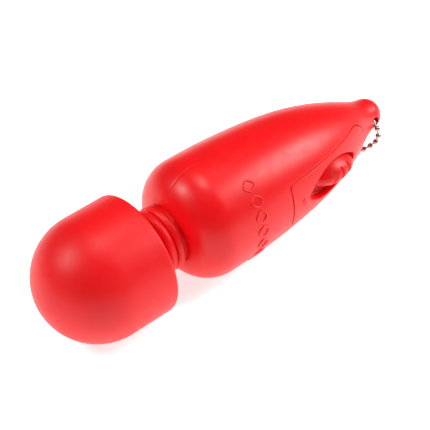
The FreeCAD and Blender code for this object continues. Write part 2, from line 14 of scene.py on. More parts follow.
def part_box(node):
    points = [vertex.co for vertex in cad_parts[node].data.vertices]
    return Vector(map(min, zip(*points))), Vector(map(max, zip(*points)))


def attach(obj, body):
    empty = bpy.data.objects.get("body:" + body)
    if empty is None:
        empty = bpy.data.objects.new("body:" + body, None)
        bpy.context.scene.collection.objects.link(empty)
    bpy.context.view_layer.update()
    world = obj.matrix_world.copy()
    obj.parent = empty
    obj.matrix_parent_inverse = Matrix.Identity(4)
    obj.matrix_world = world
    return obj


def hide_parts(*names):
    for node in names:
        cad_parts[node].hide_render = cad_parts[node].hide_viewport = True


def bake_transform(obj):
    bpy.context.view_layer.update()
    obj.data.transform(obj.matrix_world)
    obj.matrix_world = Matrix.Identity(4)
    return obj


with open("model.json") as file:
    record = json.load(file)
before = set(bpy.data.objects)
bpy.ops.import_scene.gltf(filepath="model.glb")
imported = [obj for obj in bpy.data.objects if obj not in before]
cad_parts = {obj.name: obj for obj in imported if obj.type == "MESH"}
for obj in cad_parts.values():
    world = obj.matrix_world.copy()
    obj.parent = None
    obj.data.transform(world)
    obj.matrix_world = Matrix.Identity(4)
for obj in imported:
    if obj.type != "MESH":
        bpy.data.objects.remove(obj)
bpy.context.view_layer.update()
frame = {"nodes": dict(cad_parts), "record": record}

MM = 0.001


# ---------------------------------------------------------------- sizes, in millimetres

def span(node, axis):
    """Lowest and highest coordinate of a CAD node along an axis, in the wand's millimetres."""
    low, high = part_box(node)
    return (low[axis] - ORIGIN[axis]) / MM, (high[axis] - ORIGIN[axis]) / MM


cap_low, cap_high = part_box("head_cap")
ORIGIN = Vector((cap_low.x, 0.0, (cap_low.z + cap_high.z) / 2))

HEAD_RADIUS = (cap_high.z - cap_low.z) / 2 / MM
HEAD_LENGTH = (cap_high.x - cap_low.x) / MM
BODY_FRONT, BODY_END = span("body_shell_left", 0)
SLEEVE_FRONT, SLEEVE_END = span("neck_sleeve", 0)

# The body's outline: three tangent arcs, then the lug with its domed end.
WIDEST = 42.6
SHOULDER_ARC = 8.8
FLANK_ARC = 192.0
FLANK_END = 67.8
TAIL_ARC = 75.0
LUG_RADIUS = 4.0
LUG_BLEND = 1.7
WALL = 1.5
CAVITY_END = 89.9
HOLE_PLACE = 95.8
HOLE_RADIUS = 1.15
HOLE_MOUTH = 0.35
THROAT = 6.3

FLANK_SINE = (FLANK_END - WIDEST) / FLANK_ARC
FLANK_COSINE = math.sqrt(1 - FLANK_SINE ** 2)
TAIL_PLACE = FLANK_END - TAIL_ARC * FLANK_SINE
TAIL_HEIGHT = HEAD_RADIUS - FLANK_ARC * (1 - FLANK_COSINE) - TAIL_ARC * FLANK_COSINE
LUG_PLACE = BODY_END - LUG_RADIUS

# The battery door, a rounded trapezoid seen from the slider's side. DOOR_PROUD is how far its
# outside stands over the shell.
DOOR_FRONT, DOOR_END = span("battery_door", 0)
DOOR_HALF_FRONT = span("battery_door", 2)[1]
DOOR_HALF_END = 5.2
DOOR_CORNER = 0.9
DOOR_TAIL_CORNER = 4.0
DOOR_GAP = 0.11
DOOR_PROUD = 0.1
DOOR_EDGE = 0.16

# The recess in the door and the tub under it. An oval is half length, half width, tip radius.
RECESS_PLACE = 74.3
RECESS = (9.2, 4.0, 1.3)
RECESS_DEPTH = 2.6
RECESS_EDGE = 0.3
RECESS_FILLET = 0.45
TUB_WALL = 0.7
TUB_FLOOR = 3.6

# The stem's slot in the recess's floor: its middle, half length and half width.
SLOT = (2.8, 3.7, 1.3)
SLOT_CORNER = 0.4

# The thumb slider: an oval pillow, offset to the tail, on an oval stem.
KNOB = (6.5, 3.4, 1.6)
KNOB_OFFSET = 1.9
KNOB_CROWN = 1.55
KNOB_SHOULDER = -1.9
KNOB_BASE = -2.4
KNOB_FOOT = 0.15
STEM = (1.7, 1.2, 0.7)
STEM_PLACE = 4.8
STEM_END = -4.6
GROOVE_COUNT = 3
GROOVE_PITCH = 2.5
GROOVE_SHIFT = 0.2
GROOVE_RISE = 0.25
GROOVE_HALF_LENGTH = 1.75
GROOVE_HALF_WIDTH = 0.72
GROOVE_DEPTH = 0.85

# The recess and the thumb slider are drawn along the tail's slope: u to the tail, w up, and
# heights n outwards from the skin over the recess's middle.
SLIDE_SINE = (RECESS_PLACE - TAIL_PLACE) / TAIL_ARC
SLIDE_COSINE = math.sqrt(1 - SLIDE_SINE ** 2)
SLIDE_ORIGIN = Vector((RECESS_PLACE, -(TAIL_HEIGHT + TAIL_ARC * SLIDE_COSINE), 0))
SLIDE_U = Vector((SLIDE_COSINE, SLIDE_SINE, 0))
SLIDE_N = Vector((SLIDE_SINE, -SLIDE_COSINE, 0))
SLIDE_W = Vector((0, 0, 1))


def to_frame(point):
    """From the wand's millimetres to the frame's metres."""
    return ORIGIN + Vector(point) * MM


# ---------------------------------------------------------------- mesh helpers

WELD = 0.002 * MM
SLIVER = 0.0005 * MM


def grid(bm, rows, closed=False, place=to_frame):
    """Quads between rows of points; closed joins each row's ends, place puts them in the frame."""
    made = [[bm.verts.new(place(point)) for point in row] for row in rows]
    for lower, upper in zip(made, made[1:]):
        count = len(lower) if closed else len(lower) - 1
        for index in range(count):
            following = (index + 1) % len(lower)
            bm.faces.new((lower[index], lower[following], upper[following], upper[index]))


def finish_piece(bm, name, material, crease=35.0):
    """Weld the patches into one smooth mesh with sharp creases and put it in the scene."""
    bmesh.ops.remove_doubles(bm, verts=bm.verts, dist=WELD)
    bmesh.ops.dissolve_degenerate(bm, edges=bm.edges, dist=SLIVER)
    bmesh.ops.recalc_face_normals(bm, faces=bm.faces)
    for face in bm.faces:
        face.smooth = True
    for edge in bm.edges:
        if len(edge.link_faces) == 2 and edge.calc_face_angle() > math.radians(crease):
            edge.smooth = False
    mesh = bpy.data.meshes.new(name)
    bm.to_mesh(mesh)
    bm.free()
    piece = bpy.data.objects.new(name, mesh)
    bpy.context.scene.collection.objects.link(piece)
    mesh.materials.append(material)
    return piece


def fill_border(bm):
    """Close the open border between patches that don't share their points."""
    border = [edge for edge in bm.edges if len(edge.link_faces) == 1]
    bmesh.ops.triangle_fill(bm, edges=border, use_beauty=True, use_dissolve=False)


def linspace(start, end, count):
    """count steps from start to end, both ends included."""
    return [start + (end - start) * index / count for index in range(count + 1)]


def linspace_points(start, end, count):
    return list(zip(linspace(start[0], end[0], count), linspace(start[1], end[1], count)))


def running_lengths(points):
    """The distance along a line of points to each of them."""
    lengths = [0.0]
    for before, after in zip(points, points[1:]):
        lengths.append(lengths[-1] + math.dist(before, after))
    return lengths


def evenly(points, count):
    """count points at even distances along a line of points, without its last one."""
    lengths = running_lengths(points)
    return [at_length(points, lengths, lengths[-1] * index / count) for index in range(count)]


def by_shares(line, shares):
    """Points at shares of a closed line's length."""
    lengths = running_lengths(line)
    return [at_length(line, lengths, (share % 1.0) * lengths[-1]) for share in shares]


def at_length(points, lengths, distance):
    """The point at a distance along a line of points with the given running lengths."""
    index = 0
    while index < len(lengths) - 2 and lengths[index + 1] < distance:
        index += 1
    step = lengths[index + 1] - lengths[index]
    share = (distance - lengths[index]) / step if step else 0.0
    return tuple(a + (b - a) * share for a, b in zip(points[index], points[index + 1]))


def arc_points(x, y, radius, start, end, count):
    """Points on an arc from start to end, in degrees, both ends included."""
    angles = [math.radians(start + (end - start) * index / count) for index in range(count + 1)]
    return [(x + radius * math.cos(angle), y + radius * math.sin(angle)) for angle in angles]


def bezier(start, middle, end, count):
    """Points of a quadratic curve, both ends included."""
    made = []
    for index in range(count + 1):
        t = index / count
        made.append(start * (1 - t) ** 2 + middle * 2 * t * (1 - t) + end * t ** 2)
    return made


# ---------------------------------------------------------------- the body's skin

def soft_max(a, b, width):
    """The larger of two heights, with a concave round where they cross."""
    share = max(width - abs(a - b), 0.0) / width
    return max(a, b) + share ** 2 * width / 4


def radius_at(x, depth=0.0):
    """Radius of the body at x, at a depth under its skin."""
    if x < WIDEST:
        height = HEAD_RADIUS - SHOULDER_ARC
        return height + math.sqrt(max((SHOULDER_ARC - depth) ** 2 - (WIDEST - x) ** 2, 0.0))
    if x < FLANK_END - depth * FLANK_SINE:
        return HEAD_RADIUS - FLANK_ARC + math.sqrt((FLANK_ARC - depth) ** 2 - (x - WIDEST) ** 2)
    tail = TAIL_HEIGHT + math.sqrt(max((TAIL_ARC - depth) ** 2 - (x - TAIL_PLACE) ** 2, 0.0))
    if depth >= WALL:  # the cavity ends before the lug
        return tail
    lug = math.sqrt(max(LUG_RADIUS ** 2 - max(x - LUG_PLACE, 0.0) ** 2, 0.0))
    return soft_max(tail, lug, LUG_BLEND) if x < LUG_PLACE else lug


def skin(x, angle, depth=0.0):
    """A point of the skin; angle in radians from -y towards +z."""
    radius = radius_at(x, max(depth, 0.0)) - min(depth, 0.0)
    return Vector((x, -radius * math.cos(angle), radius * math.sin(angle)))


def skin_over(x, z, depth=0.0):
    """The skin's point straight over (x, z), seen from -y."""
    radius = radius_at(x, max(depth, 0.0)) - min(depth, 0.0)
    return Vector((x, -math.sqrt(max(radius ** 2 - z ** 2, 0.0)), z))


def skin_angle(point):
    """A point's angle about the wand's axis, from -y towards +z."""
    return math.atan2(point.z, -point.y)


# Stations round and along the half shells. The patches with the door and the hole fill the
# part between the two middle angles.
PATCH_ANGLE = math.radians(72)
MIDDLE_ANGLES = linspace(-PATCH_ANGLE, PATCH_ANGLE, 40)
HOLE_PATCH = (93.4, 98.2)
DOOR_PATCH = (57.0, 91.4)
RING_SPREAD = 1.5

# The groove at the seam between the half shells; it gets shallower behind the shoulder.
SEAM_WIDTH = 0.09
SEAM_WIDEST_ANGLE = math.radians(5)
SEAM_DEPTH = 0.05
SEAM_FADE_END = 46.0
SEAM_FADE_RUN = 6.0
SEAM_LEAST = 0.15


def shoulder_stations(count):
    """Places along the shoulder's arc, at even angles, up to the widest place."""
    start = math.asin((WIDEST - BODY_FRONT) / SHOULDER_ARC)
    return [WIDEST - SHOULDER_ARC * math.sin(start * (1 - index / count))
            for index in range(count + 1)]


def side_angles(x, depth):
    """Angles from the patch's edge to the seam plane; the last steps make the seam's groove."""
    radius = max(radius_at(x, depth), 0.2)
    groove = min(SEAM_WIDTH / radius, SEAM_WIDEST_ANGLE)
    last = math.pi / 2 - groove
    return linspace(PATCH_ANGLE, last, 6) + [math.pi / 2 - groove / 2, math.pi / 2]


def seam_skin(x, angle, depth):
    """A skin point that dips at the seam plane."""
    point = skin(x, angle, depth)
    radius = max(point.yz.length, 1e-6)
    nearness = 1 - min((math.pi / 2 - abs(angle)) * radius / SEAM_WIDTH, 1.0)
    fade = min(max((SEAM_FADE_END - x) / SEAM_FADE_RUN, SEAM_LEAST), 1.0)
    dip = SEAM_DEPTH * fade * nearness ** 2 if depth == 0.0 else 0.0
    scale = max(radius - dip, 0.0) / radius
    return Vector((x, point.y * scale, point.z * scale))


def skin_block(bm, stations, depth, side, with_middle=True):
    """Part of a half shell's skin, from station to station; without its middle beside a patch."""
    upper, lower, middle = [], [], []
    for x in stations:
        angles = side_angles(x, depth)
        upper.append([seam_skin(x, angle, depth) for angle in angles])
        lower.append([seam_skin(x, -angle, depth) for angle in angles])
        middle.append([skin(x, angle, depth) for angle in MIDDLE_ANGLES])
    for rows in [upper, lower] + ([middle] if with_middle else []):
        grid(bm, [[flip(point, side) for point in row] for row in rows])


def flip(point, side):
    """The point itself for side 1, and its mirror image across the seam plane for side -1."""
    return Vector((point.x, point.y * side, point.z))


def patch_rim(stations):
    """(x, angle) round a patch's edge, anticlockwise seen from -y, from its front low corner."""
    angles = MIDDLE_ANGLES
    return ([(x, angles[0]) for x in stations[:-1]] + [(stations[-1], a) for a in angles[:-1]]
            + [(x, angles[-1]) for x in reversed(stations[1:])]
            + [(stations[0], a) for a in reversed(angles[1:])])


def patch(bm, inner, stations, depth, side, rings=10):
    """The skin between an inner loop of (x, angle) and the patch's edge."""
    rim = patch_rim(stations)
    rows = []
    for share in [(ring / rings) ** RING_SPREAD for ring in range(rings + 1)]:
        places = [(x + (x_rim - x) * share, angle + (angle_rim - angle) * share)
                  for (x, angle), (x_rim, angle_rim) in zip(inner, rim)]
        rows.append([flip(skin(x, angle, depth), side) for x, angle in places])
    grid(bm, rows, closed=True)


# ---------------------------------------------------------------- loops on the slider's side

DOOR_STATIONS = linspace(*DOOR_PATCH, 56)
HOLE_STATIONS = linspace(*HOLE_PATCH, 20)
ROUND_COUNT = len(MIDDLE_ANGLES) - 1


def door_loop(growth):
    """The door's outline, grown all round: (x, z) with the door patch's point count."""
    front, end = DOOR_FRONT - growth, DOOR_END + growth
    half_front, half_end = DOOR_HALF_FRONT + growth, DOOR_HALF_END + growth
    sharp, round_off = DOOR_CORNER + growth, DOOR_TAIL_CORNER + growth
    slope = math.degrees(math.atan2(half_front - half_end, end - front))
    near, far = half_front - sharp, half_end - round_off
    corners = [(front + sharp, -near, sharp, 180, 270 + slope),
               (end - round_off, -far, round_off, 270 + slope, 360),
               (end - round_off, far, round_off, 0, 90 - slope),
               (front + sharp, near, sharp, 90 - slope, 180)]
    halves = []
    for x, z, radius, start, stop in corners:
        middle = (start + stop) / 2
        halves.append((arc_points(x, z, radius, start, middle, 12),
                       arc_points(x, z, radius, middle, stop, 12)))
    counts = [len(DOOR_STATIONS) - 1, ROUND_COUNT] * 2
    points = []
    for index, count in enumerate(counts):
        side = halves[index][1] + halves[(index + 1) % 4][0]
        points += evenly(side, count)
    return points


def hole_loop(radius):
    """(x, z) round the chain's hole, with the hole patch's point count."""
    points = []
    counts = [len(HOLE_STATIONS) - 1, ROUND_COUNT] * 2
    for index, count in enumerate(counts):
        start = 225 + 90 * index
        points += arc_points(HOLE_PLACE, 0, radius, start, start + 90, count)[:-1]
    return points


def oval_line(length, width, tip, offset=0.0):
    """A closed line of four tangent arcs from its tail tip, anticlockwise: (u, w)."""
    side = (length ** 2 + width ** 2 - 2 * length * tip) / (2 * (width - tip))
    turn = math.degrees(math.atan2(side - width, length - tip))
    right, left = offset + length - tip, offset - length + tip
    return (arc_points(right, 0, tip, 0, turn, 24)
            + arc_points(offset, width - side, side, turn, 180 - turn, 60)[1:]
            + arc_points(left, 0, tip, 180 - turn, 180 + turn, 48)[1:]
            + arc_points(offset, side - width, side, 180 + turn, 360 - turn, 60)[1:]
            + arc_points(right, 0, tip, -turn, 0, 24)[1:])


def slot_line():
    """The stem's slot in the recess's floor, with round corners, from its tail end: (u, w)."""
    centre, half_length, half_width = SLOT
    along, across = half_length - SLOT_CORNER, half_width - SLOT_CORNER
    line = [(centre + half_length, 0)]
    for quarter, (end, side) in enumerate(((1, 1), (-1, 1), (-1, -1), (1, -1))):
        line += arc_points(centre + end * along, side * across, SLOT_CORNER,
                           90 * quarter, 90 * quarter + 90, 8)
    return line + [(centre + half_length, 0)]


def on_slide(u, w, n):
    """The point at (u, w) and height n on the slide's plane, in the wand's millimetres."""
    return SLIDE_ORIGIN + SLIDE_U * u + SLIDE_W * w + SLIDE_N * n


def lift_to_skin(u, w, depth=0.0):
    """The point straight over (u, w) on the slide's plane at a depth under the skin."""
    low, high, halvings = -1.2 * TUB_FLOOR, 2.0, 40
    for _ in range(halvings):
        middle = (low + high) / 2
        point = on_slide(u, w, middle)
        if point.yz.length < radius_at(point.x, max(depth, 0.0)) - min(depth, 0.0):
            low = middle
        else:
            high = middle
    return on_slide(u, w, low)


# ---------------------------------------------------------------- materials

def new_material(name):
    """A material with its nodes, links and Principled shader."""
    material = bpy.data.materials.new(name)
    material.use_nodes = True
    nodes = material.node_tree.nodes
    return material, nodes, material.node_tree.links, nodes["Principled BSDF"]


def noise(nodes, links, scale, detail=3.0, roughness=0.5):
    """Noise in the piece's own metres: scale counts features per metre."""
    place = nodes.new("ShaderNodeTexCoord")
    texture = nodes.new("ShaderNodeTexNoise")
    texture.inputs["Scale"].default_value = scale
    texture.inputs["Detail"].default_value = detail
    texture.inputs["Roughness"].default_value = roughness
    links.new(place.outputs["Object"], texture.inputs["Vector"])
    return texture.outputs["Fac"]


def ranged(nodes, links, source, low, high):
    """A texture's middle range spread between two values."""
    spread = nodes.new("ShaderNodeMapRange")
    spread.inputs["From Min"].default_value = 0.3
    spread.inputs["From Max"].default_value = 0.7
    spread.inputs["To Min"].default_value = low
    spread.inputs["To Max"].default_value = high
    links.new(source, spread.inputs["Value"])
    return spread.outputs["Result"]


def mixed_colour(nodes, links, source, first, second):
    """Two colours mixed by a texture, over its middle range."""
    ramp = nodes.new("ShaderNodeValToRGB")
    ramp.color_ramp.elements[0].position = 0.35
    ramp.color_ramp.elements[0].color = (*first, 1)
    ramp.color_ramp.elements[1].position = 0.65
    ramp.color_ramp.elements[1].color = (*second, 1)
    links.new(source, ramp.inputs["Fac"])
    return ramp.outputs["Color"]


def bump(nodes, links, bsdf, sources):
    """Bumps chained one on another: (height source, distance in metres, strength)."""
    previous = None
    for source, distance, strength in sources:
        node = nodes.new("ShaderNodeBump")
        node.inputs["Distance"].default_value = distance
        node.inputs["Strength"].default_value = strength
        links.new(source, node.inputs["Height"])
        if previous:
            links.new(previous, node.inputs["Normal"])
        previous = node.outputs["Normal"]
    links.new(previous, bsdf.inputs["Normal"])


def plastic(name, colour, shade, roughness):
    """Moulded plastic: slow colour drift, cloudy gloss, a fine spark-eroded grain, faint sink."""
    drift, cloud, grain, sink = 60.0, 420.0, 4500.0, 140.0
    grain_depth, sink_depth = 0.003 * MM, 0.012 * MM
    material, nodes, links, bsdf = new_material(name)
    links.new(mixed_colour(nodes, links, noise(nodes, links, drift), shade, colour),
              bsdf.inputs["Base Color"])
    links.new(ranged(nodes, links, noise(nodes, links, cloud, 6.0, 0.6),
                     roughness - 0.04, roughness + 0.05), bsdf.inputs["Roughness"])
    bump(nodes, links, bsdf, [
        (noise(nodes, links, grain, 2.0), grain_depth, 0.5),
        (noise(nodes, links, sink, 2.0), sink_depth, 0.35)])
    bsdf.inputs["Specular IOR Level"].default_value = 0.33
    return material


def metal(name, colour, roughness):
    """Bright or plated metal with smears in its gloss and faint rolling or tumbling marks."""
    grain, mark_depth, shade = 2500.0, 0.002 * MM, 0.82
    material, nodes, links, bsdf = new_material(name)
    darker = tuple(channel * shade for channel in colour)
    links.new(mixed_colour(nodes, links, noise(nodes, links, 900.0, 4.0), darker, colour),
              bsdf.inputs["Base Color"])
    bsdf.inputs["Metallic"].default_value = 1.0
    links.new(ranged(nodes, links, noise(nodes, links, grain, 5.0, 0.65),
                     roughness * 0.7, roughness * 1.5), bsdf.inputs["Roughness"])
    bump(nodes, links, bsdf, [(noise(nodes, links, grain * 2, 3.0), mark_depth, 0.4)])
    return material


RED = (0.82, 0.0045, 0.0075)
RED_SHADE = (0.76, 0.0035, 0.0055)
MATERIALS = {
    "head_soft_plastic": plastic("head_satin_red", RED, RED_SHADE, 0.44),
    "red_plastic": plastic("body_gloss_red", RED, RED_SHADE, 0.36),
    "neck_rubber": plastic("neck_red_rubber", RED, RED_SHADE, 0.42),
    "steel": metal("bright_steel", (0.72, 0.72, 0.74), 0.25),
    "cell_steel": metal("cell_steel", (0.78, 0.78, 0.80), 0.18),
    "nickel_chain": metal("nickel_plate", (0.50, 0.47, 0.43), 0.24),
    "white_plastic": plastic("white_nylon", (0.80, 0.79, 0.76), (0.74, 0.73, 0.70), 0.45),
    "black_plastic": plastic("black_phenolic", (0.020, 0.020, 0.022), (0.012, 0.012, 0.013), 0.42),
    "contact_brass": metal("contact_brass", (0.80, 0.60, 0.28), 0.24),
    "magnet": metal("ferrite", (0.10, 0.10, 0.11), 0.5),
    "armature_iron": metal("armature_copper_iron", (0.48, 0.26, 0.14), 0.4),
    "lead_red": plastic("lead_red_pvc", (0.70, 0.012, 0.014), (0.60, 0.010, 0.012), 0.35),
    "lead_black": plastic("lead_black_pvc", (0.015, 0.015, 0.016), (0.010, 0.010, 0.010), 0.35),
    "lead_pair": plastic("lead_pair_pvc", (0.62, 0.012, 0.014), (0.50, 0.010, 0.012), 0.35),
}


def dress_cad_nodes():
    """Give each CAD node that stays in view the material of its slot."""
    for item in frame["record"]["materials"]:
        for node in item.get("nodes", []):
            piece = frame["nodes"][node]
            piece.data.materials.clear()
            piece.data.materials.append(MATERIALS[item["slot"]])


# ---------------------------------------------------------------- pieces

def declare(piece, body, slot, *nodes):
    """State the body that carries a piece and hide the CAD nodes it replaces; the slot argument is
    not used.
    """
    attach(piece, body)
    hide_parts(*nodes)
    return piece


def lathe(name, outline, material, count=160):
    """A closed outline of (x, radius) turned about the wand's axis."""
    bm = bmesh.new()
    rows = []
    for x, radius in outline + outline[:1]:
        rows.append([(x, radius * math.cos(turn), radius * math.sin(turn))
                     for turn in linspace(0, math.tau, count)[:-1]])
    grid(bm, rows, closed=True)
    return finish_piece(bm, name, material)


def make_head():
    """The hollow dome with its rounded rim. The disc that closes it is the CAD's own."""
    thickness, rim, inner_rim = 2.0, 0.9, 0.2
    bore = HEAD_RADIUS - thickness
    outline = arc_points(HEAD_RADIUS, 0, HEAD_RADIUS, 180, 90, 72)
    outline += arc_points(HEAD_LENGTH - rim, HEAD_RADIUS - rim, rim, 90, 0, 10)
    outline += arc_points(HEAD_LENGTH - inner_rim, bore + inner_rim, inner_rim, 0, -90, 5)
    outline += arc_points(HEAD_RADIUS, 0, bore, 90, 180, 40)
    dome = lathe("head_dome", outline, MATERIALS["head_soft_plastic"], 192)
    declare(dome, "head", "head_soft_plastic", "head_cap")


def make_sleeve():
    """The ribbed neck, split in a groove into two halves."""
    bore, flange, groove, lip = 5.0, 7.2, 6.8, 1.1
    first_rib, rib_pitch, rib_arc = 26.5, 2.3, 1.16
    split = first_rib + rib_pitch
    disc_front = SLEEVE_FRONT + lip
    mouth_back = SLEEVE_END - lip
    waist = THROAT - 0.06
    half = rib_pitch / 2
    sag = math.sqrt(rib_arc ** 2 - half ** 2)
    low = math.degrees(math.asin(sag / rib_arc))
    ribs = [arc_points(first_rib + number * rib_pitch + half, groove - sag, rib_arc,
                       180 - low, low, 18) for number in range(3)]
    gap, corner, flat = 0.05, 0.25, 0.15
    bend = HEAD_LENGTH + 2 * gap + corner
    front = [(SLEEVE_FRONT, bore), (SLEEVE_FRONT, flange), (disc_front, flange),
             (disc_front, waist), (HEAD_LENGTH + gap, waist)]
    front += arc_points(bend, groove - corner, corner, 180, 90, 5)
    front += linspace_points((bend + flat, groove), (first_rib, groove), 6)
    front += ribs[0] + [(split, bore)]
    front += linspace_points((split, bore), (SLEEVE_FRONT, bore), 12)[1:-1]
    back = ribs[1] + ribs[2]
    back += [(BODY_FRONT, groove), (BODY_FRONT, waist), (mouth_back, waist),
             (mouth_back, flange), (SLEEVE_END, flange), (SLEEVE_END, bore)]
    back += linspace_points((SLEEVE_END, bore), (split, bore), 14)[1:]
    rubber = MATERIALS["neck_rubber"]
    pieces = (lathe("neck_sleeve_front", front, rubber), lathe("neck_sleeve_back", back, rubber))
    ends = (("neck", "head", split, HEAD_LENGTH), ("root", "neck", BODY_FRONT, split))
    for piece, (near, far, start, end) in zip(pieces, ends):
        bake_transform(piece)
        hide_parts("neck_sleeve")


def make_shell(name, side, node, with_door):
    """Half of the body's wall. side is 1 on the slider's side and -1 on the other."""
    inner_stations = linspace(DOOR_PATCH[0], CAVITY_END, len(DOOR_STATIONS) - 1)
    bm = bmesh.new()
    shell_outside(bm, side, with_door)
    shell_inside(bm, side, inner_stations, with_door)
    chain_hole(bm, side)
    if with_door:
        door_opening(bm, side, inner_stations)
    bmesh.ops.remove_doubles(bm, verts=bm.verts, dist=WELD)
    fill_border(bm)
    piece = finish_piece(bm, name, MATERIALS["red_plastic"])
    return declare(piece, "root", "red_plastic", node)


def shell_outside(bm, side, with_door):
    """The skin from the mouth to the lug's tip, without the patches of the door and the hole."""
    skin_block(bm, shoulder_stations(26), 0.0, side)
    skin_block(bm, linspace(WIDEST, DOOR_PATCH[0], 15), 0.0, side)
    skin_block(bm, DOOR_STATIONS, 0.0, side, with_middle=not with_door)
    skin_block(bm, linspace(DOOR_PATCH[1], HOLE_PATCH[0], 10), 0.0, side)
    skin_block(bm, HOLE_STATIONS, 0.0, side, with_middle=False)
    start = math.asin((HOLE_PATCH[1] - LUG_PLACE) / LUG_RADIUS)
    tip = [LUG_PLACE + LUG_RADIUS * math.sin(turn) for turn in linspace(start, math.pi / 2, 10)]
    skin_block(bm, tip, 0.0, side)


def shell_inside(bm, side, inner_stations, with_door):
    """The wall's inside back to the cavity's end wall, and the round mouth for the neck."""
    inner_front = BODY_FRONT + WALL
    skin_block(bm, linspace(inner_front, DOOR_PATCH[0], 24), WALL, side)
    skin_block(bm, inner_stations, WALL, side, with_middle=not with_door)
    end_radius, mouth_radius = radius_at(CAVITY_END, WALL), radius_at(inner_front, WALL)
    end_wall = [(CAVITY_END, radius) for radius in linspace(end_radius, 0.0, 6)]
    mouth = [(BODY_FRONT, radius) for radius in linspace(radius_at(BODY_FRONT), THROAT, 3)]
    mouth += [(inner_front, THROAT), (inner_front, mouth_radius)]
    for outline in (end_wall, mouth):
        turned_rows(bm, outline, side)


def chain_hole(bm, side):
    """Half of the lug's cross hole, down to the seam plane, and the skin round it."""
    rim, columns = [], []
    for (x_out, z_out), (x, z) in zip(hole_loop(HOLE_RADIUS + HOLE_MOUTH),
                                      hole_loop(HOLE_RADIUS)):
        top, corner = skin_over(x_out, z_out), skin_over(x, z)
        rim.append((x_out, skin_angle(top)))
        column = bezier(top, corner, corner + Vector((0, HOLE_MOUTH, 0)), 6)
        column += [Vector((x, column[-1].y * share, z)) for share in (0.7, 0.4, 0.15, 0.0)]
        columns.append([flip(point, side) for point in column])
    patch(bm, rim, HOLE_STATIONS, 0.0, side, rings=8)
    grid(bm, [list(row) for row in zip(*columns)], closed=True)


def turned_rows(bm, outline, side):
    """An outline of (x, radius) turned through a half shell's half circle."""
    rows = []
    for x, radius in outline:
        angles = [-a for a in reversed(side_angles(x, 0.0))][:-1] + MIDDLE_ANGLES
        angles += side_angles(x, 0.0)[1:]
        rows.append([Vector((x, -radius * math.cos(a) * side, radius * math.sin(a)))
                     for a in angles])
    grid(bm, rows)


def door_opening(bm, side, inner_stations):
    """The edge of the opening that the door lies in, and the skin round it, out and inside."""
    outer, columns, inner = [], [], []
    growths = (DOOR_GAP + DOOR_EDGE, DOOR_GAP)
    for (x_out, z_out), (x, z) in zip(*(door_loop(growth) for growth in growths)):
        top, corner = skin_over(x_out, z_out), skin_over(x, z)
        outer.append((x_out, skin_angle(top)))
        floor = skin_over(x, z, WALL)
        column = bezier(top, corner, corner + Vector((0, DOOR_EDGE, 0)), 4)
        column += [column[-1].lerp(floor, share) for share in (0.35, 0.7, 1.0)]
        columns.append([flip(point, side) for point in column])
        inner.append((x, skin_angle(floor)))
    grid(bm, [list(row) for row in zip(*columns)], closed=True)
    patch(bm, outer, DOOR_STATIONS, 0.0, side)
    patch(bm, inner, inner_stations, WALL, side)


def make_door():
    """The door: a ring of quads that runs from the stem's slot over the floor, walls and outside
    of the panel, round its edge, and back along its inside and the tub's underside."""
    outline, inset = door_loop(0.0), door_loop(-DOOR_EDGE)
    shares = []
    for x, z in outline:
        along = (skin_over(x, z) - SLIDE_ORIGIN).dot(SLIDE_U)
        shares.append(math.atan2(z / RECESS[1], along / RECESS[0]) / math.tau)
    length, width, tip = RECESS

    def oval_loop(growth):
        return by_shares(oval_line(length + growth, width + growth, tip + growth), shares)

    slot = by_shares(slot_line(), shares)
    floor, wall, rim, tub = (oval_loop(growth) for growth in (
        -RECESS_FILLET, 0.0, RECESS_EDGE, TUB_WALL))
    columns = []
    for index in range(len(shares)):
        top = -RECESS_DEPTH
        column = [on_slide(*slot[index], top).lerp(on_slide(*floor[index], top), share)
                  for share in linspace(0.0, 1.0, 5)]
        foot = on_slide(*wall[index], top)
        column += bezier(column[-1], foot, foot + SLIDE_N * RECESS_FILLET, 5)[1:]
        corner = lift_to_skin(*wall[index], -DOOR_PROUD)
        edge = lift_to_skin(*rim[index], -DOOR_PROUD)
        brow = corner - SLIDE_N * RECESS_EDGE
        column += [column[-1].lerp(brow, share) for share in (0.3, 0.65)]
        column += bezier(brow, corner, edge, 6)
        near = skin_over(*inset[index], -DOOR_PROUD)
        column += skin_steps(edge, near, -DOOR_PROUD, 12)
        corner = skin_over(*outline[index], -DOOR_PROUD)
        column += bezier(near, corner, corner + Vector((0, DOOR_EDGE, 0)), 4)[1:]
        inside = skin_over(*outline[index], WALL)
        column += [column[-1].lerp(inside, share) for share in (0.35, 0.7, 1.0)]
        root = lift_to_skin(*tub[index], WALL)
        column += skin_steps(inside, root, WALL, 8)
        under = on_slide(*tub[index], -TUB_FLOOR)
        column += [root.lerp(under, share) for share in (0.5, 1.0)]
        last = on_slide(*slot[index], -TUB_FLOOR)
        column += [under.lerp(last, share) for share in (0.35, 0.7, 1.0)]
        column.append(column[0])
        columns.append(column)
    bm = bmesh.new()
    grid(bm, [list(row) for row in zip(*columns)], closed=True)
    door = finish_piece(bm, "door_panel", MATERIALS["red_plastic"])
    return declare(door, "door", "red_plastic", "battery_door")


def skin_steps(start, end, depth, count):
    """Points along the skin from start to end, without the first."""
    first, last = skin_angle(start), skin_angle(end)
    return [skin(start.x + (end.x - start.x) * share, first + (last - first) * share, depth)
            for share in linspace(0.0, 1.0, count)[1:]]


